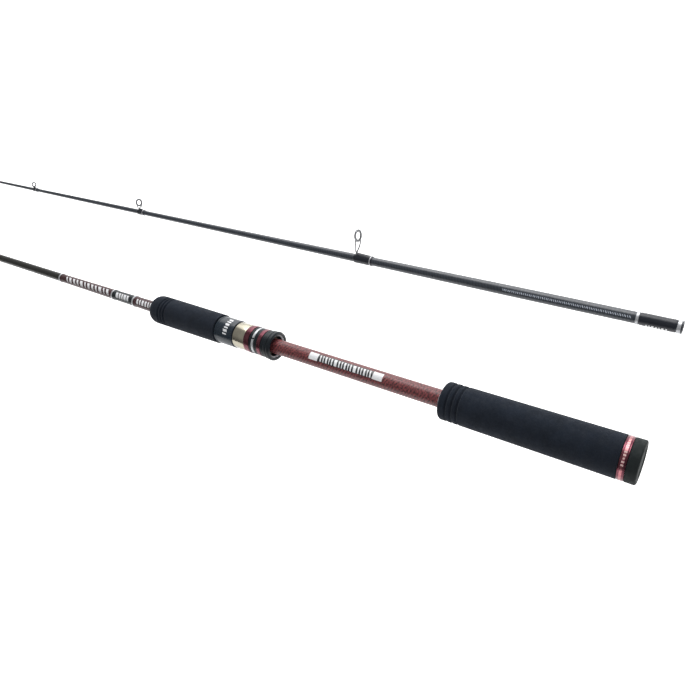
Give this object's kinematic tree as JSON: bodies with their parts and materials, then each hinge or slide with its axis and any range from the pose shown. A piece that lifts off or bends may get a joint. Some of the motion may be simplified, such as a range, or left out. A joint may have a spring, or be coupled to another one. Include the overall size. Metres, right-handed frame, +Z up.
{
  "type": "spinning rod",
  "caption": "Spinning rod taken apart: butt section with EVA grips, reel seat with sliding hood and first guide, beside a tip section with single-foot guides.",
  "frame": {"origin": "centre of the flat butt end of the butt section", "axes": "+X along the butt section from its butt end to its male ferrule end, +Z up, away from the reel side; the tip section lies parallel at -Y"},
  "size_m": [1.19, 0.1287, 0.052],
  "materials": {
    "cap_rubber": "matte",
    "red_anodised": "polished red anodising",
    "eva_foam": "fine closed-cell foam, matte",
    "silver_trim": "polished",
    "butt_carbon": "clear-coated carbon weave over maroon",
    "tip_carbon": "clear-coated dark carbon",
    "arbor_composite": "matte",
    "seat_nylon": "satin",
    "gold_hood": "polished champagne anodising",
    "slate_hood": "gloss slate paint",
    "thread_wrap": "thread under clear epoxy",
    "guide_steel": "bright",
    "guide_ceramic": "polished"
  },
  "bodies": {
    "butt_section": {"butt_cap": "cap_rubber", "butt_ring": "red_anodised", "rear_grip": "eva_foam", "rear_winding_check": "silver_trim", "butt_blank": "butt_carbon", "rear_arbor": "arbor_composite", "front_arbor": "arbor_composite", "seat_barrel": "seat_nylon", "seat_end_collar": "seat_nylon", "seat_lip_ring": "silver_trim", "seat_red_ring_rear": "red_anodised", "seat_band_rear": "seat_nylon", "seat_silver_ring": "silver_trim", "seat_band_front": "seat_nylon", "seat_red_ring_front": "red_anodised", "fixed_hood": "gold_hood", "label_ring_rear": "silver_trim", "label_ring_middle": "silver_trim", "label_ring_front": "silver_trim", "stripper_frame": "guide_steel", "stripper_ring": "guide_ceramic", "stripper_wrap_rear": "thread_wrap", "stripper_wrap_front": "thread_wrap"},
    "sliding_hood": {"sliding_hood": "slate_hood"},
    "foregrip": {"foregrip": "eva_foam", "foregrip_nut": "seat_nylon"},
    "ferrule_ring": {"ferrule_mouth_ring": "silver_trim"},
    "tip_section": {"tip_blank": "tip_carbon", "ferrule_wrap": "thread_wrap", "ferrule_trim_ring": "silver_trim", "guide_1_frame": "guide_steel", "guide_1_ring": "guide_ceramic", "guide_1_wrap": "thread_wrap", "guide_2_frame": "guide_steel", "guide_2_ring": "guide_ceramic", "guide_2_wrap": "thread_wrap", "guide_3_frame": "guide_steel", "guide_3_ring": "guide_ceramic", "guide_3_wrap": "thread_wrap", "guide_4_frame": "guide_steel", "guide_4_ring": "guide_ceramic", "guide_4_wrap": "thread_wrap", "guide_5_frame": "guide_steel", "guide_5_ring": "guide_ceramic", "guide_5_wrap": "thread_wrap", "guide_6_frame": "guide_steel", "guide_6_ring": "guide_ceramic", "guide_6_wrap": "thread_wrap", "guide_7_frame": "guide_steel", "guide_7_ring": "guide_ceramic", "guide_7_wrap": "thread_wrap", "tip_top_frame": "guide_steel", "tip_top_ring": "guide_ceramic", "tip_top_wrap": "thread_wrap"}
  },
  "joints": [
    {"name": "hood_slide", "type": "slide", "parent": "butt_section", "child": "sliding_hood", "axis": [1, 0, 0], "range_m": [0, 0.04801]},
    {"name": "foregrip_turn", "type": "hinge", "parent": "sliding_hood", "child": "foregrip", "pos_m": [0.326, 0, 0], "axis": [1, 0, 0], "range_deg": [0, 5760]},
    {"name": "tip_section_fit", "type": "slide", "parent": "butt_section", "child": "ferrule_ring", "axis": [0.996, 0.0886, 0.0072], "range_m": [0, 1.10638]},
    {"name": "tip_section_roll", "type": "hinge", "parent": "ferrule_ring", "child": "tip_section", "pos_m": [0.003, -0.098, -0.008], "axis": [1, 0, 0], "range_deg": [-220, 140]}
  ],
  "couplings": [
    {"joint": "hood_slide", "follows": "foregrip_turn", "m_per_rad": 0.00047746}
  ]
}
